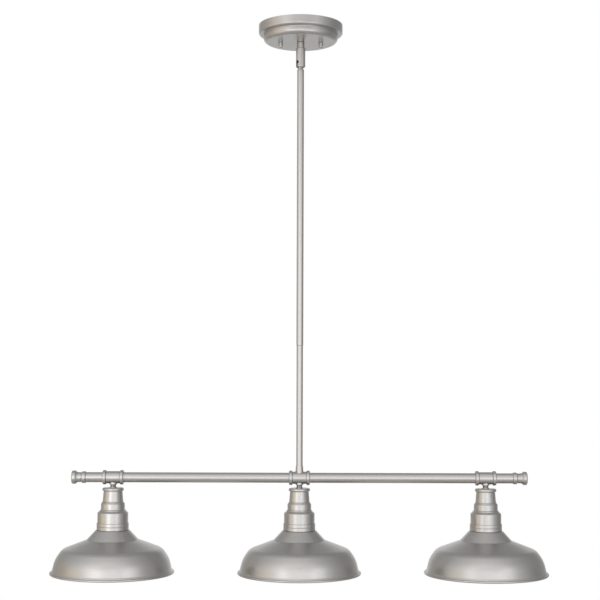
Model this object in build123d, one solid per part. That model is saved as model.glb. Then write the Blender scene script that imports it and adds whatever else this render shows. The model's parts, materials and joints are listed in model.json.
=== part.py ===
from build123d import *
from math import radians, sqrt, tan
import os

# A three-lamp linear island pendant, in millimetres. The origin is on the ceiling, in the middle of the
# canopy. +Z is up, +X runs along the bar and -Y is the front. Everything hangs below z = 0.

# ---------------------------------------------------------------- canopy and what fastens it
canopy_ring_diameter = 146.0
canopy_ring_height = 15.8
canopy_ring_round = 3.0
canopy_pan_diameter = 129.0
canopy_depth = 29.4
canopy_pan_round = 7.5
canopy_step_round = 1.2
canopy_wall = 1.2

crossbar_length = 112.0
crossbar_width = 25.0
crossbar_thickness = 2.6
crossbar_corner = 4.0
box_hole_spacing = 88.9
box_slot_length = 12.0
box_slot_width = 4.8
ground_screw_offset = 19.0
ground_screw_diameter = 4.0
ground_head_diameter = 8.0
ground_head_height = 2.4
ground_slot_width = 0.9
ground_slot_depth = 1.2

stud_spacing = 70.0
stud_diameter = 4.0
stud_recess = 0.4
stud_nut_width = 7.0
stud_nut_height = 3.0
knob_diameter = 7.8
knob_skirt = 5.6
knob_height = 9.8
knob_edge = 0.5
knob_dome_round = 3.0
knob_floor = 3.0

# ---------------------------------------------------------------- threaded nipples and their nuts
nipple_diameter = 10.2
nipple_bore = 7.0
lock_nut_width = 14.0
lock_nut_height = 3.5
washer_diameter = 20.0
washer_thickness = 1.2
canopy_nipple_rise = 3.0
canopy_nipple_grip = 9.0
drop_nipple_rise = 1.0

# ---------------------------------------------------------------- hang-straight swivel
collar_diameter = 13.1
collar_length = 10.0
collar_edge = 0.8
sleeve_diameter = 16.1
sleeve_length = 35.0
sleeve_wall = 1.87
sleeve_top_edge = 1.1
sleeve_lip = 1.8
sleeve_lip_land = 0.2
neck_diameter = 8.0
neck_bore = 5.0
ball_seat_clearance = 0.08
ball_mouth = 1.2
lip_clearance = 0.6
slot_clearance = 0.5
slot_rise = 2.6
slot_bearing = 58.0
swivel_gap = 1.9

# ---------------------------------------------------------------- stem
stem_collar_diameter = 12.0
stem_collar_height = 4.1
stem_collar_land = 0.2
stem_collar_edge = 0.3
stem_spigot_length = 11.0
neck_grip = 12.0
upper_stem_diameter = 11.8
upper_stem_length = 477.0
lower_stem_diameter = 11.0
lower_stem_length = 213.0
stem_wall = 1.0
stem_end_edge = 0.45
coupler_reach = 15.0
coupler_wall = 1.1

# ---------------------------------------------------------------- bar, tee fittings and finials
lamp_spacing = 317.5
bar_diameter = 17.2
bar_wall = 1.3
bar_grip = 10.0
tee_length = 35.8
tee_collar_diameter = 24.6
tee_collar_width = 6.4
tee_collar_round = 2.1
tee_body_diameter = 20.9
tee_groove_width = 0.8
tee_groove_depth = 0.7
tee_boss_reach = 20.6
tee_boss_foot = 13.6
tee_boss_rim = 0.45
stem_grip = 8.0
drop_boss_diameter = 13.0
drop_boss_rim = 0.8
drop_boss_height = 1.7
end_tube_reach = 46.1
finial_ring_diameter = 20.0
finial_ring_width = 7.7
finial_ring_round = 2.2
finial_groove_diameter = 15.6
finial_groove_width = 1.0
finial_neck_diameter = 17.0
finial_neck_width = 6.2
finial_flare_width = 3.4
finial_flange_diameter = 22.7
finial_flange_width = 6.2
finial_flange_round = 2.6
finial_grip = 9.0

# ---------------------------------------------------------------- cup over the lampholder
cup_drop = 17.4
cup_height = 71.6
cup_wall = 1.4
cup_plate = 2.4
cup_seat_diameter = 13.0
cup_seat_height = 0.8
cup_flange_diameter = 36.4
cup_flange_height = 5.6
cup_flange_round = 2.4
cup_groove_diameter = 31.2
cup_groove_width = 1.0
cup_neck_top_diameter = 32.2
cup_neck_foot_diameter = 34.7
cup_neck_foot = 22.8
cup_step_diameter = 40.4
cup_step_top = 27.2
cup_step_foot = 36.4
cup_bead_diameter = 43.3
cup_bead_height = 2.0
cup_body_diameter = 52.0
cup_body_top = 42.3
cup_edge_round = 1.0
cup_band_diameter = 54.4
cup_band_top = 59.2
cup_band_groove = 0.35
cup_band_groove_width = 1.6

# ---------------------------------------------------------------- lampholder, medium screw base
shell_bore = 26.4
shell_wall = 0.5
shell_thread_length = 20.0
shell_end_bore = 23.0
shell_end_height = 4.5
shell_floor_hole = 17.0
contact_diameter = 7.0
contact_height = 3.2
holder_cap_clearance = 0.6
holder_barrel_diameter = 38.8
holder_shoulder_clearance = 1.0
holder_below_shade = 12.4
holder_mouth = 2.0
holder_socket = 7.5

# ---------------------------------------------------------------- shade and the ring that clamps it
shade_wall = 1.0
shade_hole_clearance = 0.5
shade_top_diameter = 57.4
shade_top_round = 1.2
shade_crease_diameter = 87.4
shade_crease_depth = 16.2
shade_crease_round = 4.0
shade_rim_diameter = 210.4
shade_bead_diameter = 3.8
shade_depth = 73.0
# How far the corners of the shade's outline lie inside its rim.
shade_shoulder_inset = 20.3
shade_shoulder_depth = 32.0
shade_shoulder_round = 20.0
shade_skirt_inset = 8.7
shade_skirt_depth = 48.2
shade_skirt_round = 60.0
shade_foot_inset = 4.4
shade_lip_depth = 66.4
shade_lip_round = 2.6
shade_ring_wall = 3.3
shade_ring_flange_width = 2.3
shade_ring_flange_height = 2.6
shade_ring_height = 8.0
shade_ring_edge = 0.5
shade_ring_notches = 12
shade_ring_notch_diameter = 3.2

# ---------------------------------------------------------------- clearance of pieces fitted together
slip = 0.05
# The share of an edge that the rounding at one of its ends may take up.
edge_share = 0.49

# ---------------------------------------------------------------- sizes that follow from these
shade_shoulder_diameter = shade_rim_diameter - 2 * shade_shoulder_inset
shade_skirt_diameter = shade_rim_diameter - 2 * shade_skirt_inset
shade_foot_diameter = shade_rim_diameter - 2 * shade_foot_inset
shade_ring_diameter = holder_barrel_diameter + 2 * shade_ring_wall
shade_ring_flange = shade_ring_diameter + 2 * shade_ring_flange_width
canopy_bottom = -canopy_depth
sleeve_top = canopy_bottom - collar_length
sleeve_end = sleeve_top - sleeve_length
neck_radius = neck_diameter / 2
ball_radius = sleeve_diameter / 2 - sleeve_wall - ball_seat_clearance
seat_radius = ball_radius + ball_seat_clearance
lip_radius = neck_radius + lip_clearance
ball_height = sleeve_end + sleeve_lip + sqrt(seat_radius**2 - lip_radius**2)
stem_collar_top = sleeve_end - swivel_gap
upper_stem_top = stem_collar_top - stem_collar_height
stem_joint = upper_stem_top - upper_stem_length
lower_stem_end = stem_joint - lower_stem_length
tee_boss_top = lower_stem_end + stem_grip
bar_height = tee_boss_top - tee_boss_reach
cup_top = bar_height - cup_drop
cup_bottom = cup_top - cup_height
drop_nipple_top = bar_height - bar_diameter / 2 + bar_wall + drop_nipple_rise
holder_top = cup_top - cup_plate - lock_nut_height
holder_bottom = cup_bottom - holder_below_shade
shell_foot = holder_bottom + holder_mouth
shell_step = shell_foot + shell_thread_length + shell_wall
shell_top = shell_step + shell_end_height
lamp_places = {"left": -lamp_spacing, "centre": 0.0, "right": lamp_spacing}


def eased(corners, close):
    """The rounding of each corner, held to what the edges beside it leave room for."""
    count = len(corners)
    wanted = [corner[2] if len(corner) == 3 else 0 for corner in corners]
    rounds = []
    for i, (x, z, *_) in enumerate(corners):
        before = Vector(*corners[i - 1][:2]) - Vector(x, z)
        after = Vector(*corners[(i + 1) % count][:2]) - Vector(x, z)
        if not wanted[i]:
            rounds.append(0)
            continue
        room = min(
            before.length * (edge_share if wanted[i - 1] else 2 * edge_share),
            after.length * (edge_share if wanted[(i + 1) % count] else 2 * edge_share),
        )
        half_turn = radians(180 - before.get_angle(after)) / 2
        rounds.append(min(wanted[i], room / tan(half_turn)))
    return rounds if close else rounds[1:-1]


def outline(corners, close=True):
    """The line through corners given as (radius, height) or (radius, height, rounding), beside the Z axis."""
    points = [corner[:2] for corner in corners]
    return FilletPolyline(*points, radius=eased(corners, close), close=close)


def turned(*corners):
    """A solid turned about the Z axis, from its closed outline."""
    return revolve(Plane.XZ * make_face(outline(corners)), Axis.Z)


def spun(wall, inner_side, *corners):
    """A sheet of even thickness spun about the Z axis.

    The corners follow its outer face from the middle out, and inner_side is the side that the wall is on.
    """
    sheet = offset(outline(corners, close=False), wall, side=inner_side, kind=Kind.INTERSECTION)
    return revolve(Plane.XZ * make_face(sheet.edges()), Axis.Z)


def rod(diameter, low, high, x=0.0, y=0.0):
    """A round upright bar from one height to another."""
    align = (Align.CENTER, Align.CENTER, Align.MIN)
    return Pos(x, y, low) * Cylinder(diameter / 2, high - low, align=align)


def tube(diameter, bore, low, high):
    """A round upright tube from one height to another."""
    return rod(diameter, low, high) - rod(bore, low, high)


def along_bar(solid, x=0.0, facing=1):
    """A solid made along the Z axis, laid along the bar with its +Z towards +X or, facing -1, towards -X."""
    return Pos(x, 0, bar_height) * Rot(0, 90 * facing, 0) * solid


def nut(width, low, high, bore):
    """A six-sided nut, measured across its flats, from one height to another."""
    flats = RegularPolygon(radius=width / 2, side_count=6, major_radius=False)
    return Pos(0, 0, low) * extrude(flats, high - low) - rod(bore, low, high)


def pair(solid, spacing):
    """Two of a piece, the same distance either side of the middle, along the bar."""
    return Pos(-spacing / 2, 0, 0) * solid + Pos(spacing / 2, 0, 0) * solid


def canopy():
    ring_radius = canopy_ring_diameter / 2
    pan_radius = canopy_pan_diameter / 2
    nipple_hole = nipple_diameter / 2 + slip
    shell = spun(
        canopy_wall,
        Side.LEFT,
        (nipple_hole, -canopy_depth),
        (pan_radius, -canopy_depth, canopy_pan_round),
        (pan_radius, -canopy_ring_height, canopy_step_round),
        (ring_radius, -canopy_ring_height, canopy_ring_round),
        (ring_radius, 0),
    )
    return shell - pair(rod(stud_diameter + 2 * slip, -canopy_depth, 0), stud_spacing)


def crossbar():
    flat = RectangleRounded(crossbar_length, crossbar_width, crossbar_corner)
    strip = Pos(0, 0, -crossbar_thickness) * extrude(flat, crossbar_thickness)
    slot = SlotOverall(box_slot_length, box_slot_width)
    strip -= pair(Pos(0, 0, -crossbar_thickness) * extrude(slot, crossbar_thickness), box_hole_spacing)
    strip -= pair(rod(stud_diameter + 2 * slip, -crossbar_thickness, 0), stud_spacing)
    strip -= rod(nipple_diameter + 2 * slip, -crossbar_thickness, 0)
    return strip - rod(ground_screw_diameter + 2 * slip, -crossbar_thickness, 0, x=ground_screw_offset)


def ground_screw():
    shank = rod(ground_screw_diameter, -crossbar_thickness, -stud_recess)
    head_foot = -crossbar_thickness - ground_head_height
    head = rod(ground_head_diameter, head_foot, -crossbar_thickness)
    low_end = (Align.CENTER, Align.CENTER, Align.MIN)
    driver_slot = Pos(0, 0, head_foot) * Box(
        ground_head_diameter, ground_slot_width, ground_slot_depth, align=low_end
    )
    return Pos(ground_screw_offset, 0, 0) * (shank + head - driver_slot)


def canopy_stud():
    return rod(stud_diameter, canopy_bottom - knob_height + knob_floor + slip, -stud_recess)


def stud_nut():
    bore = stud_diameter + 2 * slip
    return nut(stud_nut_width, -crossbar_thickness - stud_nut_height, -crossbar_thickness, bore)


def canopy_knob():
    radius = knob_diameter / 2
    tip = canopy_bottom - knob_height
    body = turned(
        (0, canopy_bottom),
        (radius, canopy_bottom, knob_edge),
        (radius, canopy_bottom - knob_skirt, knob_edge),
        (radius - knob_edge, canopy_bottom - knob_skirt),
        (radius - knob_edge, tip, knob_dome_round),
        (0, tip),
    )
    return body - rod(stud_diameter + 2 * slip, tip + knob_floor, canopy_bottom)


def canopy_nipple():
    high = canopy_bottom + canopy_wall + washer_thickness + lock_nut_height + canopy_nipple_rise
    return tube(nipple_diameter, nipple_bore, sleeve_top - canopy_nipple_grip, high)


def canopy_washer():
    low = canopy_bottom + canopy_wall
    return tube(washer_diameter, nipple_diameter + 2 * slip, low, low + washer_thickness)


def canopy_lock_nut():
    low = canopy_bottom + canopy_wall + washer_thickness
    return nut(lock_nut_width, low, low + lock_nut_height, nipple_diameter + 2 * slip)


def swivel_collar():
    radius = collar_diameter / 2
    bore = nipple_diameter / 2 + slip
    return turned(
        (bore, canopy_bottom),
        (radius, canopy_bottom, collar_edge),
        (radius, sleeve_top),
        (bore, sleeve_top),
    )


def swivel_sleeve():
    """A cup that takes the nipple at its top and holds the ball on a round seat at its lower end.

    The slot lets the neck of the ball stud lie over to one side, for a sloping ceiling.
    """
    radius = sleeve_diameter / 2
    end_round = radius - lip_radius - sleeve_lip_land
    grip_end = sleeve_top - canopy_nipple_grip
    body = turned(
        (0, sleeve_top),
        (radius, sleeve_top, sleeve_top_edge),
        (radius, sleeve_end, end_round),
        (0, sleeve_end),
    )
    body -= rod(nipple_diameter + 2 * slip, grip_end, sleeve_top)
    body -= rod(2 * seat_radius, ball_height, grip_end)
    body -= Pos(0, 0, ball_height) * Sphere(seat_radius)
    body -= rod(2 * lip_radius, sleeve_end, ball_height)
    half_width = neck_radius + slot_clearance
    slot_depth = sleeve_diameter
    slot_length = ball_height + slot_rise - sleeve_end
    straight = Box(slot_depth, 2 * half_width, slot_length, align=(Align.MAX, Align.CENTER, Align.MIN))
    crown = Rot(0, -90, 0) * Cylinder(half_width, slot_depth, align=(Align.CENTER, Align.CENTER, Align.MIN))
    slot = Pos(0, 0, sleeve_end) * straight + Pos(0, 0, ball_height + slot_rise) * crown
    return body - Rot(0, 0, 90 - slot_bearing) * slot


def swivel_ball_stud():
    """A ball with a hollow neck that reaches down into the top of the stem."""
    foot = stem_collar_top - neck_grip
    ball = Pos(0, 0, ball_height) * Sphere(ball_radius)
    flat_top = sqrt(ball_radius**2 - (neck_bore / 2 + ball_mouth) ** 2)
    stud = ball + rod(neck_diameter, foot, ball_height)
    stud -= rod(sleeve_diameter, ball_height + flat_top, ball_height + ball_radius)
    return stud - rod(neck_bore, foot, ball_height + ball_radius)


def stem_collar():
    """The bush in the top of the stem. Its sloping shoulder clears the sleeve when the stem lies over."""
    radius = stem_collar_diameter / 2
    bore = neck_radius + slip
    rim = bore + stem_collar_land
    spigot = upper_stem_diameter / 2 - stem_wall - slip
    foot = upper_stem_top - stem_spigot_length
    return turned(
        (bore, stem_collar_top),
        (rim, stem_collar_top),
        (radius, stem_collar_top - (radius - rim), stem_collar_edge),
        (radius, upper_stem_top, stem_collar_edge),
        (spigot, upper_stem_top),
        (spigot, foot),
        (bore, foot),
    )


def stem_tube(diameter, low, high):
    """A tube with both outer ends eased."""
    radius = diameter / 2
    bore = radius - stem_wall
    return turned(
        (bore, low),
        (radius, low, stem_end_edge),
        (radius, high, stem_end_edge),
        (bore, high),
    )


def stem_coupler():
    upper = upper_stem_diameter / 2 - stem_wall - slip
    lower = lower_stem_diameter / 2 - stem_wall - slip
    bore = lower - coupler_wall
    return turned(
        (bore, stem_joint - coupler_reach),
        (lower, stem_joint - coupler_reach),
        (lower, stem_joint),
        (upper, stem_joint),
        (upper, stem_joint + coupler_reach),
        (bore, stem_joint + coupler_reach),
    )


def tee(with_stem_boss):
    """A fitting that joins two bar tubes, with a collar at each end and a boss for the lamp below it."""
    end = tee_length / 2
    inner = end - tee_collar_width
    edge = inner - tee_groove_width
    collar = tee_collar_diameter / 2
    body = tee_body_diameter / 2
    groove = body - tee_groove_depth
    run = turned(
        (0, -end),
        (collar, -end, tee_collar_round),
        (collar, -inner, tee_collar_round),
        (groove, -inner),
        (groove, -edge),
        (body, -edge),
        (body, edge),
        (groove, edge),
        (groove, inner),
        (collar, inner, tee_collar_round),
        (collar, end, tee_collar_round),
        (0, end),
    )
    fitting = along_bar(run)
    drop_foot = bar_height - body - drop_boss_height
    boss = drop_boss_diameter / 2
    fitting += turned((0, bar_height), (boss, bar_height), (boss, drop_foot, drop_boss_rim), (0, drop_foot))
    if with_stem_boss:
        rim = lower_stem_diameter / 2 + slip + tee_boss_rim
        foot = tee_boss_foot / 2
        fitting += turned(
            (0, bar_height),
            (foot, bar_height),
            (foot, bar_height + body),
            (rim, tee_boss_top),
            (0, tee_boss_top),
        )
        fitting -= rod(lower_stem_diameter + 2 * slip, lower_stem_end, tee_boss_top)
        fitting -= rod(lower_stem_diameter - 2 * stem_wall, bar_height, lower_stem_end)
    bore = rod(bar_diameter + 2 * slip, end - bar_grip, end)
    fitting -= along_bar(bore)
    fitting -= along_bar(bore, facing=-1)
    fitting -= along_bar(rod(bar_diameter - 2 * bar_wall, -end, end))
    return fitting - rod(nipple_diameter + 2 * slip, drop_foot, bar_height)


def bar_tube():
    """The bar between two tees, with its ends inside them."""
    gap = tee_length / 2 - bar_grip
    return along_bar(tube(bar_diameter, bar_diameter - 2 * bar_wall, gap, lamp_spacing - gap))


def end_tube():
    """The short bar outside an outer tee."""
    low = lamp_spacing + tee_length / 2 - bar_grip
    return along_bar(tube(bar_diameter, bar_diameter - 2 * bar_wall, low, lamp_spacing + end_tube_reach))


def finial():
    """A turned plug: a spigot in the end tube, a rounded ring, a groove, a neck and a flared flange."""
    spigot = bar_diameter / 2 - bar_wall - slip
    ring = finial_ring_diameter / 2
    groove = finial_groove_diameter / 2
    neck = finial_neck_diameter / 2
    flange = finial_flange_diameter / 2
    groove_start = finial_ring_width
    neck_start = groove_start + finial_groove_width
    flare_start = neck_start + finial_neck_width
    flange_start = flare_start + finial_flare_width
    finial_end = flange_start + finial_flange_width
    plug = turned(
        (0, -finial_grip),
        (spigot, -finial_grip),
        (spigot, 0),
        (ring, 0, finial_ring_round),
        (ring, groove_start, finial_ring_round),
        (groove, groove_start),
        (groove, neck_start),
        (neck, neck_start),
        (neck, flare_start, finial_flare_width),
        (flange, flange_start, finial_flange_round / 2),
        (flange, finial_end, finial_flange_round),
        (0, finial_end),
    )
    return along_bar(plug, lamp_spacing + end_tube_reach)


def drop_nipple():
    return tube(nipple_diameter, nipple_bore, holder_top - holder_socket, drop_nipple_top)


def drop_lock_nut():
    return nut(lock_nut_width, holder_top, cup_top - cup_plate, nipple_diameter + 2 * slip)


def socket_cup():
    """The stepped cup over the lampholder: flange, tapered neck, step, bead, body and a banded foot."""
    flange = cup_flange_diameter / 2
    groove = cup_groove_diameter / 2
    seat = cup_seat_diameter / 2
    neck_top = cup_flange_height + cup_groove_width
    step = cup_step_diameter / 2
    bead = cup_bead_diameter / 2
    body = cup_body_diameter / 2
    band = cup_band_diameter / 2
    band_middle = (cup_band_top + cup_height) / 2
    half_groove = cup_band_groove_width / 2
    outer = turned(
        (0, cup_top + cup_seat_height),
        (seat, cup_top + cup_seat_height),
        (seat, cup_top),
        (flange, cup_top, cup_flange_round),
        (flange, cup_top - cup_flange_height, cup_flange_round),
        (groove, cup_top - cup_flange_height),
        (groove, cup_top - neck_top),
        (cup_neck_top_diameter / 2, cup_top - neck_top),
        (cup_neck_foot_diameter / 2, cup_top - cup_neck_foot),
        (step, cup_top - cup_step_top, cup_edge_round),
        (step, cup_top - cup_step_foot),
        (bead, cup_top - cup_step_foot - cup_bead_height / 2),
        (bead, cup_top - cup_step_foot - cup_bead_height),
        (body, cup_top - cup_body_top, cup_edge_round),
        (body, cup_top - cup_band_top),
        (band, cup_top - cup_band_top, cup_edge_round),
        (band, cup_top - band_middle + half_groove),
        (band - cup_band_groove, cup_top - band_middle),
        (band, cup_top - band_middle - half_groove),
        (band, cup_bottom, cup_edge_round),
        (0, cup_bottom),
    )
    inside = turned(
        (0, cup_top - cup_plate),
        (groove - cup_wall, cup_top - cup_plate),
        (groove - cup_wall, cup_top - cup_neck_foot),
        (step - cup_wall, cup_top - cup_step_top - cup_wall),
        (step - cup_wall, cup_top - cup_step_foot - cup_wall),
        (body - cup_wall, cup_top - cup_body_top - cup_wall),
        (body - cup_wall, cup_bottom),
        (0, cup_bottom),
    )
    return outer - inside - rod(nipple_diameter + 2 * slip, cup_bottom, cup_top + cup_seat_height)


def lampholder():
    """The insulating body: a cap on the nipple, a shoulder on the shade and a barrel through it."""
    cap = cup_groove_diameter / 2 - cup_wall - holder_cap_clearance
    waist = cup_step_diameter / 2 - cup_wall - holder_cap_clearance
    shoulder = cup_body_diameter / 2 - cup_wall - holder_shoulder_clearance
    barrel = holder_barrel_diameter / 2
    body = turned(
        (0, holder_top),
        (cap, holder_top, holder_cap_clearance),
        (cap, cup_top - cup_neck_foot),
        (waist, cup_top - cup_step_top - cup_wall),
        (waist, cup_top - cup_step_foot - cup_wall),
        (shoulder, cup_top - cup_body_top - cup_wall),
        (shoulder, cup_bottom),
        (barrel, cup_bottom),
        (barrel, holder_bottom),
        (0, holder_bottom),
    )
    shell_space = 2 * (shell_wall + slip)
    body -= rod(shell_bore + shell_space, holder_bottom, shell_step)
    body -= rod(shell_end_bore + shell_space, shell_step, shell_top)
    return body - rod(nipple_diameter + 2 * slip, holder_top - holder_socket, holder_top)


def screw_shell():
    """The thin metal cup that takes the lamp's thread. Its end steps in and has a round hole in its floor."""
    bore = shell_bore / 2
    end_bore = shell_end_bore / 2
    floor_hole = shell_floor_hole / 2
    return turned(
        (floor_hole, shell_top),
        (end_bore + shell_wall, shell_top),
        (end_bore + shell_wall, shell_step),
        (bore + shell_wall, shell_step),
        (bore + shell_wall, shell_foot),
        (bore, shell_foot),
        (bore, shell_step - shell_wall),
        (end_bore, shell_step - shell_wall),
        (end_bore, shell_top - shell_wall),
        (floor_hole, shell_top - shell_wall),
    )


def centre_contact():
    foot = shell_top - contact_height
    radius = contact_diameter / 2
    return turned((0, shell_top), (radius, shell_top), (radius, foot, radius / 2), (0, foot))


def shade():
    """The spun shade: a flat top, a steep cone, a crease, a shoulder, a deep skirt and a wired rim."""
    lip = shade_rim_diameter / 2 - shade_bead_diameter / 2
    bead_height = cup_bottom - shade_depth + shade_bead_diameter / 2
    sheet = spun(
        shade_wall,
        Side.RIGHT,
        (holder_barrel_diameter / 2 + shade_hole_clearance, cup_bottom),
        (shade_top_diameter / 2, cup_bottom, shade_top_round),
        (shade_crease_diameter / 2, cup_bottom - shade_crease_depth, shade_crease_round),
        (shade_shoulder_diameter / 2, cup_bottom - shade_shoulder_depth, shade_shoulder_round),
        (shade_skirt_diameter / 2, cup_bottom - shade_skirt_depth, shade_skirt_round),
        (shade_foot_diameter / 2, cup_bottom - shade_lip_depth, shade_lip_round),
        (lip, bead_height),
    )
    return sheet + Pos(0, 0, bead_height) * Torus(lip, shade_bead_diameter / 2)


def shade_ring():
    """The threaded ring under the shade, notched for the fingers."""
    high = cup_bottom - shade_wall
    bore = holder_barrel_diameter / 2 + slip
    flange_foot = high - shade_ring_flange_height
    low = high - shade_ring_height
    ring = turned(
        (bore, high),
        (shade_ring_flange / 2, high, shade_ring_edge),
        (shade_ring_flange / 2, flange_foot, shade_ring_edge),
        (shade_ring_diameter / 2, flange_foot),
        (shade_ring_diameter / 2, low, shade_ring_edge),
        (bore, low),
    )
    notch = rod(shade_ring_notch_diameter, low, flange_foot)
    return ring - PolarLocations(shade_ring_diameter / 2, shade_ring_notches) * notch


def mirrored(solid):
    """The same piece on the other side of the middle, along the bar."""
    return mirror(solid, about=Plane.YZ)


pieces = {
    "canopy": canopy(),
    "crossbar": crossbar(),
    "ground_screw": ground_screw(),
    "canopy_studs": pair(canopy_stud(), stud_spacing),
    "stud_nuts": pair(stud_nut(), stud_spacing),
    "canopy_knobs": pair(canopy_knob(), stud_spacing),
    "canopy_nipple": canopy_nipple(),
    "canopy_washer": canopy_washer(),
    "canopy_lock_nut": canopy_lock_nut(),
    "swivel_collar": swivel_collar(),
    "swivel_sleeve": swivel_sleeve(),
    "swivel_ball_stud": swivel_ball_stud(),
    "stem_collar": stem_collar(),
    "upper_stem": stem_tube(upper_stem_diameter, stem_joint, upper_stem_top),
    "stem_coupler": stem_coupler(),
    "lower_stem": stem_tube(lower_stem_diameter, lower_stem_end, stem_joint),
    "bar_right": bar_tube(),
    "bar_left": mirrored(bar_tube()),
    "end_tube_right": end_tube(),
    "end_tube_left": mirrored(end_tube()),
    "finial_right": finial(),
    "finial_left": mirrored(finial()),
}
lamp_pieces = {
    "drop_nipple": drop_nipple(),
    "drop_lock_nut": drop_lock_nut(),
    "socket_cup": socket_cup(),
    "lampholder": lampholder(),
    "screw_shell": screw_shell(),
    "centre_contact": centre_contact(),
    "shade": shade(),
    "shade_ring": shade_ring(),
}
for side, x in lamp_places.items():
    pieces[f"tee_{side}"] = Pos(x, 0, 0) * tee(with_stem_boss=side == "centre")
    for name, solid in lamp_pieces.items():
        pieces[f"{name}_{side}"] = Pos(x, 0, 0) * solid

os.makedirs("parts", exist_ok=True)
for name, solid in pieces.items():
    export_step(solid, f"parts/{name}.step")
print(len(pieces), "pieces; swivel centre", round(ball_height, 3), "bar axis", round(bar_height, 3))
rim_height = cup_bottom - shade_depth
print("cup top", round(cup_top, 3), "shade top", round(cup_bottom, 3), "rim", round(rim_height, 3))
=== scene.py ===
# %% [markdown]
# # A three-lamp island pendant in satin silver paint
#
# The solids of this pendant are made already, in real sizes and as separate pieces. This script
# dresses them. It gives every piece the finish of the real one, cuts the threads that the solids
# leave plain, and sets up a camera and a small photo studio.
#
# Each step is a cell, with a few words first on what the step makes and why it is made that way.
# Lengths are in metres, the ceiling is at z = 0, the bar runs along X and the front is -Y.

# %% Load the solids
import json
from math import cos, radians, sin, tau

import bmesh
import bpy
from mathutils import Matrix, Vector


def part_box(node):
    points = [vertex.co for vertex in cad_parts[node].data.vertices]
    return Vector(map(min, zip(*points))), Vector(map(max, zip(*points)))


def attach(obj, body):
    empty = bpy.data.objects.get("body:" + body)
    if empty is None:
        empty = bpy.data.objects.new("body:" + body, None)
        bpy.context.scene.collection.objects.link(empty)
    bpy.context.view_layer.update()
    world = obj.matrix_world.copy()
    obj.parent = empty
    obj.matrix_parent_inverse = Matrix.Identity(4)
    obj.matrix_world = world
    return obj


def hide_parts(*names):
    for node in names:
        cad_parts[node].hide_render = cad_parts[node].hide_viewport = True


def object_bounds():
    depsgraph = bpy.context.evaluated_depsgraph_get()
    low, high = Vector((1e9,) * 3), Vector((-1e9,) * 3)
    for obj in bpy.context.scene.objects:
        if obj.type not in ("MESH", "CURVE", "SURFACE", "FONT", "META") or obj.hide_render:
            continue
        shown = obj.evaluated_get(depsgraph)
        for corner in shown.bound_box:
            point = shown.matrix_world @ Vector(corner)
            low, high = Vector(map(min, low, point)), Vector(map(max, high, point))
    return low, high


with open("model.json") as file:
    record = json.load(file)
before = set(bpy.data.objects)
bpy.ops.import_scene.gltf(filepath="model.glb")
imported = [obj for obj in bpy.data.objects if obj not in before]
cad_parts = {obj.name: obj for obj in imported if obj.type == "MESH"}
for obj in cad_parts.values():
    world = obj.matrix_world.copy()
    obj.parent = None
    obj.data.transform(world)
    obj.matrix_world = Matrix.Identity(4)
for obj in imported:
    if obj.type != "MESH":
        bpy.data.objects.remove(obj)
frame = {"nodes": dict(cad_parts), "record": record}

cad_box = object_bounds()
nodes = frame["nodes"]
low, high = cad_box
print(len(nodes), "solids from", [round(v, 3) for v in low], "to", [round(v, 3) for v in high])

# %% [markdown]
# ## The camera
#
# The photograph was taken from about 2.2 m away, a little above the lamps: the lower side of the
# canopy shows, and so do the tops of the shades. A camera could be set by eye, but the round rims
# say where it stood. Each makes an ellipse, which is flatter the nearer the camera is to the rim's
# own level, and the rims at different heights together give the height, the distance and the
# tilt. The camera looks up by a few degrees and leans a hair to one side.

# %% Camera
camera_distance = 2.210
camera_height = -0.620
camera_aside = 0.0001
camera_pitch = 3.648
camera_roll = 0.17
lens = 77.2
film_width = 36

camera = bpy.data.objects.new("camera", bpy.data.cameras.new("camera"))
camera.data.lens = lens
camera.data.sensor_width = film_width
stand = Matrix.Translation((camera_aside, -camera_distance, camera_height))
look_up = Matrix.Rotation(radians(90 + camera_pitch), 4, "X")
lean = Matrix.Rotation(radians(camera_roll), 4, "Z")
camera.matrix_world = stand @ look_up @ lean
bpy.context.scene.collection.objects.link(camera)
bpy.context.scene.camera = camera
print("camera", camera_distance, "m in front, lens", lens, "mm")

# %% [markdown]
# ## Arithmetic on shader sockets
#
# A finish, or the light of a room, is a net of small nodes. Wired one by one, the net hides the
# idea behind it. Here a socket is wrapped in a class that knows plus, minus, times and power, so
# that `1 - mask` adds the Math node that works it out.

# %% A socket that does arithmetic
class Wire:
    """What comes out of a node. Arithmetic on it adds Math nodes to the same net."""

    def __init__(self, net, socket):
        self.net = net
        self.socket = socket

    def maths(self, operation, *values):
        return self.net.node("ShaderNodeMath", {"operation": operation}, dict(enumerate(values)))

    def __add__(self, other):
        return self.maths("ADD", self, other)

    def __sub__(self, other):
        return self.maths("SUBTRACT", self, other)

    def __rsub__(self, other):
        return self.maths("SUBTRACT", other, self)

    def __mul__(self, other):
        return self.maths("MULTIPLY", self, other)

    def __pow__(self, other):
        return self.maths("POWER", self, other)

    __radd__ = __add__
    __rmul__ = __mul__


# %% [markdown]
# ## The net that holds the nodes
#
# Every node comes from one method, which sets the node's own settings first and its sockets after,
# because a setting such as an operation can change which sockets there are. The few sorts of node
# that come back in every finish get a short method each: patches of noise, a ramp, a blend of two
# colours and a bump. Colours go through Mix and Vector Math, since a Math node would turn them grey.

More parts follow.
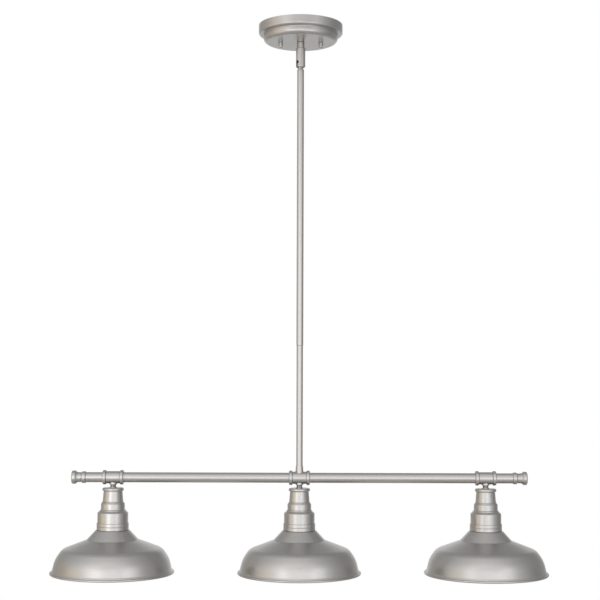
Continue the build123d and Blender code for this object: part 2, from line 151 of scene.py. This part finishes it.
# %% The net
class Net:
    """The nodes of one finish, or of the studio's walls."""

    def __init__(self, tree):
        self.tree = tree
        tree.nodes.clear()

    def node(self, kind, settings={}, sockets={}, out=0):
        """A new node: its settings first, then the values or wires of its sockets."""
        made = self.tree.nodes.new(kind)
        for name, value in settings.items():
            if name == "stops":
                self.set_stops(made.color_ramp, value)
            else:
                setattr(made, name, value)
        for name, value in sockets.items():
            if isinstance(value, Wire):
                self.tree.links.new(value.socket, made.inputs[name])
            else:
                made.inputs[name].default_value = value
        names = out if isinstance(out, tuple) else (out,)
        wires = [Wire(self, made.outputs[name]) for name in names] if made.outputs else [None]
        return wires if isinstance(out, tuple) else wires[0]

    def set_stops(self, ramp, stops):
        """The greys of a ramp, as (place, grey) pairs."""
        for index, (place, grey) in enumerate(stops):
            stop = ramp.elements[index] if index < 2 else ramp.elements.new(place)
            stop.position = place
            stop.color = (grey, grey, grey, 1)

    def noise(self, place, size, detail=2, roughness=0.5, stretch=None):
        """Soft random patches about `size` metres across, from 0 to 1, drawn out by `stretch`."""
        if stretch:
            place = self.node("ShaderNodeVectorMath", {"operation": "MULTIPLY"}, {0: place, 1: stretch})
        sockets = {"Vector": place, "Scale": 1 / size, "Detail": detail, "Roughness": roughness}
        return self.node("ShaderNodeTexNoise", {}, sockets)

    def shaded(self, colour, brightness):
        """A colour made lighter or darker by a wire. Vector Math keeps its hue."""
        return self.node("ShaderNodeVectorMath", {"operation": "SCALE"}, {0: colour, "Scale": brightness})

    def mixed(self, share, first, second):
        """A blend of two colours, from the first at 0 to the second at 1."""
        sockets = {0: share, 6: first, 7: second}
        return self.node("ShaderNodeMix", {"data_type": "RGBA"}, sockets, out=2)

    def ramp(self, value, *stops):
        """The value read off a ramp of greys."""
        return self.node("ShaderNodeValToRGB", {"stops": stops}, {0: value})

    def bump(self, height, depth, strength=1.0, under=None):
        """A surface normal that follows a height from 0 to 1, `depth` metres deep."""
        sockets = {"Height": height, "Distance": depth, "Strength": strength}
        if under:
            sockets["Normal"] = under
        return self.node("ShaderNodeBump", {}, sockets)


# %% [markdown]
# ## The studio
#
# Satin metal shows the room more than its own colour. The photograph tells what stood round it:
# a white backdrop behind, darker walls at the sides that give every tube its dark edges, and soft
# lamps low in front, which make the two bright patches on each shade. The same room is built
# here, with a world for the walls and the ceiling, area lamps for the lamps and a pale floor.
#
# A room could be modelled with real walls, but they would stand in the way when the pendant is
# looked at from another side. A world has no walls to walk into. It knows the direction in which
# a ray leaves, and that is enough to say how bright the room is there.

# %% Directions in the room
world = bpy.data.worlds.new("studio")
world.use_nodes = True
bpy.context.scene.world = world
walls = Net(world.node_tree)
direction = walls.node("ShaderNodeTexCoord", out="Generated")
across, along, up = walls.node("ShaderNodeSeparateXYZ", {}, {0: direction}, out=("X", "Y", "Z"))

# the way round the room: 0 and 1 behind the pendant, 0.25 on its left, 0.5 in front
round_room = 0.5 + across.maths("ARCTAN2", across, 0.0 - along) * (1 / tau)
# the way to the back: 0 in front, 1 behind the pendant
from_front = 0.5 + 0.5 * along
print("the room's directions are known")

# %% [markdown]
# ## Walls and ceiling
#
# The wall's light is read off a ramp by how far round the room a direction points. The bright
# stops are the wall to the left of the lamps, and the dark ones, on the right and behind, give the
# tubes their dark edges. The left wall is warmer, as the left sides of the shades are in the
# photograph. The ceiling has a ramp of its own, from front to back.

# %% Walls
plain_wall = (1.0, 0.99, 0.98, 1)
left_wall = (1.17, 1.02, 0.83, 1)
wall_level = 1.1

wall_light = walls.ramp(
    round_room,
    (0.0, 0.29),
    (0.125, 0.45),
    (0.222, 0.49),
    (0.292, 0.93),
    (0.361, 0.87),
    (0.431, 0.63),
    (0.5, 0.68),
    (0.569, 0.57),
    (0.639, 0.69),
    (0.708, 0.51),
    (0.778, 0.27),
    (0.875, 0.41),
    (1.0, 0.29),
)
left_share = walls.ramp(0.0 - across, (0.5, 0.0), (0.95, 1.0))
wall = walls.shaded(walls.mixed(left_share, plain_wall, left_wall), wall_level * wall_light)
print("walls at level", wall_level)

# %% Ceiling
plain_ceiling = (1.0, 0.99, 0.98)
ceiling_level = 1.4
left_lift = 0.25  # how much lighter the ceiling is on the left than in the middle

ceiling_light = walls.ramp(
    from_front, (0.02, 0.29), (0.15, 0.93), (0.3, 0.60), (0.5, 0.42), (0.8, 0.29)
)
ceiling_share = walls.ramp(up, (0.12, 0.0), (0.40, 1.0))
ceiling = walls.shaded(plain_ceiling, ceiling_level * ceiling_light * (1.0 - left_lift * across))
room = walls.mixed(ceiling_share, wall, ceiling)
print("ceiling at level", ceiling_level)

# %% [markdown]
# ## The white backdrop
#
# The camera sees pure white behind the pendant, but that white must not pour more light on it.
# Light Path tells the rays apart: those from the camera see the backdrop, and so do reflections
# that point nearly straight back, as at the thin edges of the shades. All others see the room.

# %% Backdrop
backdrop = (1.0, 1.0, 1.0, 1)

is_camera, is_glossy, is_clear = walls.node(
    "ShaderNodeLightPath", out=("Is Camera Ray", "Is Glossy Ray", "Is Transmission Ray")
)
straight_back = walls.ramp(along, (0.80, 0.0), (0.97, 1.0))
above_floor = walls.ramp(up + 1.0, (0.35, 0.0), (0.85, 1.0))
seen = is_camera.maths("MAXIMUM", is_camera, (is_glossy + is_clear) * (straight_back * above_floor))
shell_light = walls.mixed(seen, room, backdrop)
shell = walls.node("ShaderNodeBackground", {}, {"Color": shell_light, "Strength": 1.0})
walls.node("ShaderNodeOutputWorld", {}, {"Surface": shell})
print("the room is made of", len(walls.tree.nodes), "nodes")

# %% [markdown]
# ## Softboxes
#
# A softbox is a lamp behind white cloth, and satin metal mirrors the cloth as a soft bright patch.
# An area lamp of the same size does the same. Two large ones stand at the left and the right and
# one in the middle, two narrow strips make the crisp light inside the patches, and a high one
# lights the canopy and the bar.
#
# In the photograph the left shade is brighter than the right one. Two of the lamps therefore have
# a grid, which a lower spread stands for: they point to the left, and their light thins out to
# the right.

# %% Lamps
def softbox(name, place, target, width, height, power, spread=180):
    """A rectangular soft lamp at a place, turned towards a target. The camera doesn't see it."""
    lamp = bpy.data.objects.new(name, bpy.data.lights.new(name, "AREA"))
    lamp.data.shape = "RECTANGLE"
    lamp.data.size = width
    lamp.data.size_y = height
    lamp.data.energy = power
    lamp.data.spread = radians(spread)
    lamp.location = place
    aim = Vector(target) - lamp.location
    lamp.rotation_euler = aim.to_track_quat("-Z", "Y").to_euler()
    lamp.visible_camera = False
    bpy.context.scene.collection.objects.link(lamp)
    print(name, "at", place, power, "W")


eye_line = -0.70
middle_of_room = (0, 0, eye_line)
left_of_lamps = (-0.8, 0, eye_line)
between_lamps = (-0.5, 0, eye_line)

softbox("front_left_lamp", (-1.35, -1.75, eye_line), left_of_lamps, 1.1, 2.1, 1.95, spread=70)
softbox("front_right_lamp", (1.35, -1.75, eye_line), middle_of_room, 1.1, 2.1, 4.15)
softbox("front_lamp", (-0.15, -2.6, eye_line), between_lamps, 1.7, 2.1, 3.15, spread=100)
softbox("high_front_lamp", (0, -2.6, 0.25), middle_of_room, 1.7, 0.8, 1.5)
softbox("left_strip_lamp", (-0.9, -2.0, -0.75), middle_of_room, 0.5, 1.2, 0.9)
softbox("right_strip_lamp", (0.9, -2.0, -0.75), middle_of_room, 0.5, 1.2, 2.0)

# %% [markdown]
# ## How a finish is put together
#
# Every finish starts in the same way, with an empty material and the place of each point in the
# pendant's own frame, so that the grain has its real size on every piece and moves with it. And
# every finish of the pendant ends in one Principled surface. What is the same all over is a plain
# number on that surface's socket, and only what changes from place to place is a wire.

# %% A finish and what it is made of
def new_finish(name):
    """An empty material, its net and the place of each point in the pendant's own frame."""
    material = bpy.data.materials.new(name)
    material.use_nodes = True
    net = Net(material.node_tree)
    place = net.node("ShaderNodeTexCoord", out="Object")
    return material, net, place


def finish(name, net, **surface):
    """Ends a net in a Principled surface. Sockets are named with underscores for spaces."""
    sockets = {key.replace("_", " "): value for key, value in surface.items()}
    surface_out = net.node("ShaderNodeBsdfPrincipled", {}, sockets)
    net.node("ShaderNodeOutputMaterial", {}, {"Surface": surface_out})
    print("finish", name, "uses", len(net.tree.nodes), "nodes")


# %% [markdown]
# ## The floor
#
# The pendant hangs high above a pale floor, which throws soft light up into the shades. A floor
# that ended in a hard edge would draw a line across the backdrop, so it turns clear towards its
# rim: a Mix Shader blends the painted ground with a transparent one by the distance from the middle.

# %% Floor
floor_height = -2.75
floor_radius = 3.4
floor_cloud_size = 0.6
floor_colour = (0.80, 0.77, 0.74)
fade_start, fade_end = 0.55, 0.97  # shares of the radius

bpy.ops.mesh.primitive_circle_add(
    vertices=96, radius=floor_radius, fill_type="NGON", location=(0, 0, floor_height)
)
floor = bpy.context.object
floor.name = "floor"
floor_finish, net, place = new_finish("pale_floor")
clouds = net.noise(place, floor_cloud_size, detail=3)
paint = net.shaded(floor_colour, 0.96 + 0.08 * clouds)
ground = net.node("ShaderNodeBsdfPrincipled", {}, {"Base Color": paint, "Roughness": 0.6})
from_middle = net.node("ShaderNodeVectorMath", {"operation": "LENGTH"}, {0: place}, out="Value")
solid_share = net.ramp(from_middle * (1 / floor_radius), (fade_start, 1.0), (fade_end, 0.0))
clear = net.node("ShaderNodeBsdfTransparent")
faded = net.node("ShaderNodeMixShader", {}, {0: solid_share, 1: clear, 2: ground})
net.node("ShaderNodeOutputMaterial", {}, {"Surface": faded})
floor.data.materials.append(floor_finish)
print("floor at z", floor_height, "fading out before", floor_radius, "m")

# %% [markdown]
# ## Where the lamps hang
#
# The marks of the lathe run round each lamp's own axis, and the threads need those axes too. They
# are measured on the solids and not written down here, so the two can't drift apart.

# %% Where the lamps hang
sides = ("left", "centre", "right")


def middle(node):
    """The middle of a solid's box."""
    low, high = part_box(node)
    return (low + high) / 2


lamp_x = {side: middle(f"shade_{side}").x for side in sides}
lamp_spacing = lamp_x["right"] - lamp_x["centre"]
print("lamps at x", [round(x, 4) for x in lamp_x.values()], "spacing", round(lamp_spacing, 4))

# %% [markdown]
# ## Satin silver paint
#
# All the metal that shows has one coat: a silver paint with aluminium flakes, sprayed and baked,
# warm grey and half gloss. Close up it is a mosaic of tiny flakes that lie nearly flat, under a
# faint orange peel. From further off there are soft clouds where the coat is thicker. So the
# flakes and the clouds change both the colour and the roughness, and the flakes and the peel
# tilt the surface a little.
#
# The metal under the paint still shows through. The canopy, the cups and the shades are spun on a
# lathe, and the tool leaves rings that the paint doesn't quite fill. They run round each lamp's
# axis, so the finish folds the three lamps onto one by wrapping x at the lamps' spacing. The bar
# and the stem are drawn tubes, with faint streaks along them. The tees and the small turned
# pieces have neither.
#
# A picture of paint could be wrapped round the metal, but it would need seams, and it would
# stretch on a dome. Noise that is worked out at each point of space has neither fault.

# %% Silver paint
silver = (0.50, 0.490, 0.481)
flake_size, flake_depth = 0.00045, 0.000002
peel_size, peel_depth = 0.0016, 0.000008
cloud_size = 0.035
tool_mark_size, tool_mark_depth = 0.0011, 0.000007
streak_size, streak_depth = 0.0012, 0.000003
along_bar = (0.02, 1, 1)
along_stem = (1, 1, 0.02)


def silver_paint(name, spun=False, drawn=None):
    """The silver coat over metal that was spun, drawn along a direction or, with neither, cast."""
    material, net, place = new_finish(name)
    speck = net.node("ShaderNodeTexVoronoi", {}, {"Vector": place, "Scale": 1 / flake_size}, out="Color")
    flake, tilt = net.node("ShaderNodeSeparateColor", {}, {0: speck}, out=("Red", "Green"))
    peel = net.noise(place, peel_size, detail=1)
    cloud = net.noise(place, cloud_size, detail=3, roughness=0.6)
    light = 0.95 + 0.08 * flake + 0.05 * (cloud - 0.5)
    rough = 0.31 + 0.04 * tilt + 0.08 * (cloud - 0.5)
    normal = net.bump(flake, flake_depth, strength=0.6)
    normal = net.bump(peel, peel_depth, strength=0.7, under=normal)
    if spun:
        x, y, z = net.node("ShaderNodeSeparateXYZ", {}, {0: place}, out=("X", "Y", "Z"))
        x = x.maths("WRAP", x, lamp_spacing / 2, -lamp_spacing / 2)
        radius = (x * x + y * y) ** 0.5
        track = net.node("ShaderNodeCombineXYZ", {}, {"X": radius, "Y": 0.0, "Z": z})
        marks = net.noise(track, tool_mark_size, detail=2, roughness=0.7)
        wide_marks = net.noise(track, 8 * tool_mark_size, detail=1)
        light = light + 0.05 * (marks - 0.5) + 0.04 * (wide_marks - 0.5)
        normal = net.bump(marks, tool_mark_depth, under=normal)
    if drawn:
        streak = net.noise(place, streak_size, detail=2, stretch=drawn)
        light = light + 0.05 * (streak - 0.5)
        normal = net.bump(streak, streak_depth, under=normal)
    colour = net.shaded(silver, light)
    finish(name, net, Base_Color=colour, Metallic=1.0, Roughness=rough, Normal=normal)
    return material


spun_silver = silver_paint("silver_paint_spun", spun=True)
bar_silver = silver_paint("silver_paint_bar", drawn=along_bar)
stem_silver = silver_paint("silver_paint_stem", drawn=along_stem)
cast_silver = silver_paint("silver_paint_cast")

# %% [markdown]
# ## Zinc plate
#
# Under the canopy are the working pieces: the crossbar, the studs and the nuts are steel with a
# dull plate of zinc, and the ground screw is dyed green so that nobody takes it for another. The
# plain ring that holds each shade is close enough to share the recipe. Zinc grows in cloudy
# crystals, and loose pieces scratch each other in the plating drum.

# %% Zinc plate
crystal_size = 0.004
scratch_size, scratch_depth = 0.0005, 0.000012
along_scratch = (0.12, 1, 1)


def zinc(name, colour, rough, cloudiness):
    """Plated metal: cloudy crystals a few millimetres wide and fine scratches from the drum."""
    material, net, place = new_finish(name)
    crystal = net.noise(place, crystal_size, detail=4, roughness=0.65)
    scratch = net.noise(place, scratch_size, detail=2, stretch=along_scratch)
    light = 1.0 + cloudiness * (crystal - 0.5) + 0.10 * (scratch - 0.5)
    rough_here = rough + 0.14 * crystal
    normal = net.bump(scratch, scratch_depth, strength=0.8)
    colour = net.shaded(colour, light)
    finish(name, net, Base_Color=colour, Metallic=1.0, Roughness=rough_here, Normal=normal)
    return material


zinc_plate = zinc("zinc_plate", (0.62, 0.61, 0.58), 0.28, 0.22)
green_zinc = zinc("green_zinc", (0.10, 0.33, 0.14), 0.26, 0.30)
ring_metal = zinc("ring_metal", (0.60, 0.60, 0.59), 0.30, 0.12)

# %% [markdown]
# ## Porcelain
#
# The holder of each lamp is porcelain, because it stands the heat. It has a clear glaze over a
# body that is not quite white, with a few dark specks. The glaze is the coat of the surface, a
# second gloss layer over the clay, and a very shallow bump makes it pool as real glaze does.

# %% Porcelain
pool_size, pool_depth = 0.012, 0.00012
clay_speck_size = 0.0011
white_clay = (0.86, 0.85, 0.81, 1)
dark_speck = (0.42, 0.37, 0.30, 1)


def glazed(name):
    """White porcelain: a clear glaze that pools a little, with a few dark specks in the clay."""
    material, net, place = new_finish(name)
    pool = net.noise(place, pool_size, detail=2)
    speck = net.ramp(net.noise(place, clay_speck_size, detail=1), (0.70, 0.0), (0.76, 1.0))
    clay = net.mixed(0.5 * speck, white_clay, dark_speck)
    finish(
        name,
        net,
        Base_Color=net.shaded(clay, 0.95 + 0.08 * pool),
        Roughness=0.10 + 0.10 * pool,
        Coat_Weight=0.6,
        Coat_Roughness=0.06,
        Normal=net.bump(pool, pool_depth, strength=0.5),
    )
    return material


porcelain = glazed("porcelain")

# %% [markdown]
# ## Brass
#
# The screw shell and the contact of each socket are thin brass sheet. It leaves the roller bright,
# with a fine grain, and goes brown in patches where hands and heat have been. A ramp with close
# stops cuts those patches out of soft noise, and they are rougher as well as browner.

# %% Brass
tarnish_size = 0.007
grain_size, grain_depth = 0.0004, 0.000008
bright_brass = (0.78, 0.60, 0.30, 1)
brown_brass = (0.40, 0.25, 0.10, 1)


def sheet_brass(name):
    """Thin brass sheet, rolled bright, with brown tarnish in patches."""
    material, net, place = new_finish(name)
    patch = net.ramp(net.noise(place, tarnish_size, detail=4, roughness=0.6), (0.42, 0.0), (0.68, 1.0))
    grain = net.noise(place, grain_size, detail=2, stretch=(1, 1, 0.1))
    colour = net.mixed(0.55 * patch, bright_brass, brown_brass)
    finish(
        name,
        net,
        Base_Color=net.shaded(colour, 0.95 + 0.10 * grain),
        Metallic=1.0,
        Roughness=0.22 + 0.20 * patch,
        Normal=net.bump(grain, grain_depth, strength=0.6),
    )
    return material


brass = sheet_brass("brass")

# %% [markdown]
# ## Each solid gets its finish
#
# The record says which material slot every solid belongs to. The silver slot has four finishes
# here, by how the metal under the paint was made: spun, drawn along the bar, drawn along the stem
# or cast. A solid keeps its shape, and only the material in its slot is changed.

# %% Put the finishes on the solids
slot_finish = {
    "silver_paint": cast_silver,
    "plated_steel": zinc_plate,
    "green_plating": green_zinc,
    "ring_metal": ring_metal,
    "porcelain": porcelain,
    "brass": brass,
}
made_finish = {
    "canopy": spun_silver,
    "socket_cup": spun_silver,
    "shade": spun_silver,
    "upper_stem": stem_silver,
    "lower_stem": stem_silver,
    "bar": bar_silver,
    "end_tube": bar_silver,
}


def finish_for(node, slot):
    """The finish of a node, by how its metal was made or else by its slot."""
    kind = node
    for side in sides:
        kind = kind.removesuffix(f"_{side}")
    return made_finish.get(kind, slot_finish[slot])


parts = frame["record"]["subparts"]
for part in parts:
    solid = nodes[part["node"]]
    solid.data.materials.clear()
    solid.data.materials.append(finish_for(part["node"], part["material_slot"]))
print("finishes on", len(parts), "solids")

# %% [markdown]
# ## A skin over rings of points
#
# The solids leave every thread plain, as a drawing does. On the real pendant most of them are
# hidden, but a few can be seen: the short nipple between each tee and its cup, the two studs
# and the nipple inside the canopy, and the coarse rolled thread in each lamp socket. A thread
# could be a bump in the material, but its outline would stay straight. Here it is real shape.
#
# All of these shapes are rows of points, each row a ring, with a skin of four-sided faces from
# each ring to the next. One helper makes the skin, closes the ends, and marks as sharp the edges
# that turn by more than an angle, so that the rest shades smooth.

# %% A skin over rings
def skinned(name, rings, closed, sharp_angle):
    """A piece whose skin joins each ring to the next. It ends flat, or runs round if closed."""
    mesh = bpy.data.meshes.new(name)
    shape = bmesh.new()
    loops = [[shape.verts.new(point) for point in ring] for ring in rings]
    following = loops[1:] + loops[:1] if closed else loops[1:]
    for loop, beyond in zip(loops, following):
        for step in range(len(loop)):
            after = (step + 1) % len(loop)
            shape.faces.new((loop[step], loop[after], beyond[after], beyond[step]))
    if not closed:
        shape.faces.new(loops[0])
        shape.faces.new(loops[-1])
    bmesh.ops.recalc_face_normals(shape, faces=shape.faces)
    shape.to_mesh(mesh)
    shape.free()
    mesh.shade_smooth()
    mesh.set_sharp_from_angle(angle=radians(sharp_angle))
    piece = bpy.data.objects.new(name, mesh)
    bpy.context.scene.collection.objects.link(piece)
    print(name, len(mesh.polygons), "faces")
    return piece


# %% [markdown]
# ## Screw threads
#
# A threaded piece is a turned piece whose radius dips along a helix. Each ring of points has a
# height, and the dip at an angle is a wave that moves on by one turn for each pitch. So the mesh
# stays a plain grid of rings, and no spiral has to be wound or joined to anything. Towards its
# ends the thread fades, as a cut thread runs out.

# %% A turned piece with a thread
thread_sharp_angle = 50


def threaded(name, x, section, pitch, depth, segments, closed):
    """A turned piece about a vertical axis at x.

    The section holds (radius, height, share), and a share of 1 gives the whole depth of the thread.
    A closed section makes a tube or a shell, and an open one is a rod with flat ends.
    """
    rings = []
    for radius, height, share in section:
        ring = []
        for step in range(segments):
            angle = tau * step / segments
            dip = share * depth * (0.5 - 0.5 * cos(tau * height / pitch - angle))
            reach = radius - dip
            ring.append((x + reach * cos(angle), reach * sin(angle), height))
        rings.append(ring)
    return skinned(name, rings, closed, thread_sharp_angle)


def thread_heights(low, high, pitch, rings_per_turn):
    """Even heights from low to high, with enough rings in each turn to show the thread's shape."""
    count = round((high - low) / pitch * rings_per_turn)
    return [low + (high - low) * index / count for index in range(count + 1)]


def fading(height, low, high, run_out):
    """The thread's share at a height: whole in the middle, fading to nothing at the two ends."""
    return max(0.0, min(1.0, (height - low) / run_out, (high - height) / run_out))


# %% [markdown]
# ## What a new piece needs
#
# A new piece isn't known to the joints or to the record. It has to ride on the body that carries it
# and get its finish. Where it stands for a solid, that solid is hidden, and the piece takes its
# size from that solid's box.

# %% Dress a new piece
def dress(piece, finish_used, slot, body, *replaced):
    """Gives a new piece its finish, lets it ride and hides the solids it stands for. The slot is not
    used.
    """
    piece.data.materials.append(finish_used)
    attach(piece, body)
    if replaced:
        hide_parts(*replaced)


def span(node):
    """Where a solid starts and ends in height, and half its depth from front to back."""
    low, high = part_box(node)
    return low.z, high.z, (high.y - low.y) / 2


# %% [markdown]
# ## Studs and nipples
#
# Two studs come down from the crossbar to the knobs and hold the canopy up. Short threaded tubes,
# called nipples, join the canopy to the swivel and each tee to its cup, and the wires run through
# them. All are cut from threaded stock, so the thread goes from end to end. The two studs share
# one node, and their places are read off the two ends of its box.

# %% Studs and nipples
stud_pitch = 0.0008
nipple_pitch = 0.00094
nipple_bore = 0.0035
depth_to_pitch = 0.45
rod_rings_per_turn = 6
rod_segments = 24


def threaded_rod(name, x, low, high, radius, pitch, bore=0.0):
    """A rod with a thread from end to end, or a tube where it has a bore."""
    section = [
        (radius, height, fading(height, low, high, pitch))
        for height in thread_heights(low, high, pitch, rod_rings_per_turn)
    ]
    if bore:
        section += [(bore, high, 0.0), (bore, low, 0.0)]
    return threaded(name, x, section, pitch, depth_to_pitch * pitch, rod_segments, closed=bore > 0)


low, high, radius = span("canopy_studs")
first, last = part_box("canopy_studs")
for side, x in (("left", first.x + radius), ("right", last.x - radius)):
    stud = threaded_rod(f"canopy_stud_{side}", x, low, high, radius, stud_pitch)
    dress(stud, zinc_plate, "plated_steel", "ceiling_mount", "canopy_studs")

low, high, radius = span("canopy_nipple")
nipple = threaded_rod("canopy_nipple_threaded", 0.0, low, high, radius, nipple_pitch, nipple_bore)
dress(nipple, zinc_plate, "plated_steel", "ceiling_mount", "canopy_nipple")

for side in sides:
    low, high, radius = span(f"drop_nipple_{side}")
    name = f"drop_nipple_threaded_{side}"
    nipple = threaded_rod(name, lamp_x[side], low, high, radius, nipple_pitch, nipple_bore)
    dress(nipple, cast_silver, "silver_paint", "fixture", f"drop_nipple_{side}")

# %% [markdown]
# ## The screw shells in the lamp sockets
#
# Inside each shade a thin brass shell takes the lamp's cap. Its thread is coarse and round, seven
# turns to the inch, because it is rolled into sheet: the outside shows the same waves as the
# inside. So the section is a closed loop that goes up the outside and back down the inside with
# the same dips. Near the top the shell steps in, and its floor has a round hole for the contact.

# %% Brass screw shells
lamp_pitch = 0.00363
lamp_thread_depth = 0.00062
shell_sheet = 0.0005
shell_end_radius = 0.0120
shell_end_height = 0.0045
shell_floor_radius = 0.0085
shell_run_out = 0.0012
shell_rings_per_turn = 10
shell_segments = 64


def shell_wall(radius, low, high):
    """One face of the rolled wall, from its mouth up to the step."""
    return [
        (radius, height, fading(height, low, high, shell_run_out))
        for height in thread_heights(low, high, lamp_pitch, shell_rings_per_turn)
    ]


def screw_shell(side):
    """The rolled shell of one lamp socket."""
    low, high, radius = span(f"screw_shell_{side}")
    step = high - shell_end_height
    outside = shell_wall(radius, low, step)
    inside = shell_wall(radius - shell_sheet, low, step - shell_sheet)
    end = [
        (shell_end_radius, step, 0.0),
        (shell_end_radius, high, 0.0),
        (shell_floor_radius, high, 0.0),
        (shell_floor_radius, high - shell_sheet, 0.0),
        (shell_end_radius - shell_sheet, high - shell_sheet, 0.0),
        (shell_end_radius - shell_sheet, step - shell_sheet, 0.0),
    ]
    section = outside + end + inside[::-1]
    name = f"screw_shell_rolled_{side}"
    depth = lamp_thread_depth
    return threaded(name, lamp_x[side], section, lamp_pitch, depth, shell_segments, closed=True)


for side in sides:
    dress(screw_shell(side), brass, "brass", "fixture", f"screw_shell_{side}")

# %% [markdown]
# ## The thread under the clamping ring
#
# The barrel of each lamp's holder has a screw thread outside too, for the ring that clamps the
# shade. Only its end shows, less than one turn, between the ring and the mouth of the barrel. Here
# it is one low ridge: a section of four corners that is swept round the barrel and fades at both
# ends.
#
# It is added to the holder and takes nothing's place. The barrel's radius is measured on the mesh,
# because the box of the holder is as wide as its shoulder.

# %% The thread under the clamping ring
ridge_pitch = 0.0022
ridge_height = 0.0006
ridge_width = 0.0013
ridge_crest = 0.4  # the flat on top, as a share of the width
ridge_root = 0.0001
ridge_margin = 0.0009
ridge_run_out = 1 / 6
ridge_steps = 96
ridge_sharp_angle = 60
mouth_band = 0.0001


def holder_barrel_radius(side):
    """The radius of a holder's barrel, measured on the lowest points of its mesh."""
    points = [point.co for point in nodes[f"lampholder_{side}"].data.vertices]
    mouth = min(point.z for point in points)
    lowest = [point for point in points if point.z < mouth + mouth_band]
    return max(((point.x - lamp_x[side]) ** 2 + point.y ** 2) ** 0.5 for point in lowest)


def holder_ridge(side):
    """The end of the thread on a holder's barrel, between the ring and the barrel's mouth."""
    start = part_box(f"lampholder_{side}")[0].z + ridge_margin
    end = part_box(f"shade_ring_{side}")[0].z - ridge_margin
    turns = (end - start) / ridge_pitch
    barrel = holder_barrel_radius(side)
    root = barrel - ridge_root
    rings = []
    for index in range(ridge_steps + 1):
        share = index / ridge_steps
        angle = tau * turns * share
        height = start + (end - start) * share
        crest = barrel + ridge_height * fading(share, 0, 1, ridge_run_out)
        edge = ridge_crest / 2
        corners = ((root, -0.5), (crest, -edge), (crest, edge), (root, 0.5))
        rings.append([
            (lamp_x[side] + radius * cos(angle), radius * sin(angle), height + aside * ridge_width)
            for radius, aside in corners
        ])
    print("barrel radius", round(barrel, 4), "thread of", round(turns, 2), "turns")
    return skinned(f"holder_thread_{side}", rings, closed=False, sharp_angle=ridge_sharp_angle)


for side in sides:
    dress(holder_ridge(side), porcelain, "porcelain", "fixture")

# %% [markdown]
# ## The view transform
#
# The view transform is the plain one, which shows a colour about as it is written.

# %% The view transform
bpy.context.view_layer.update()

scene = bpy.context.scene
scene.view_settings.view_transform = "Standard"
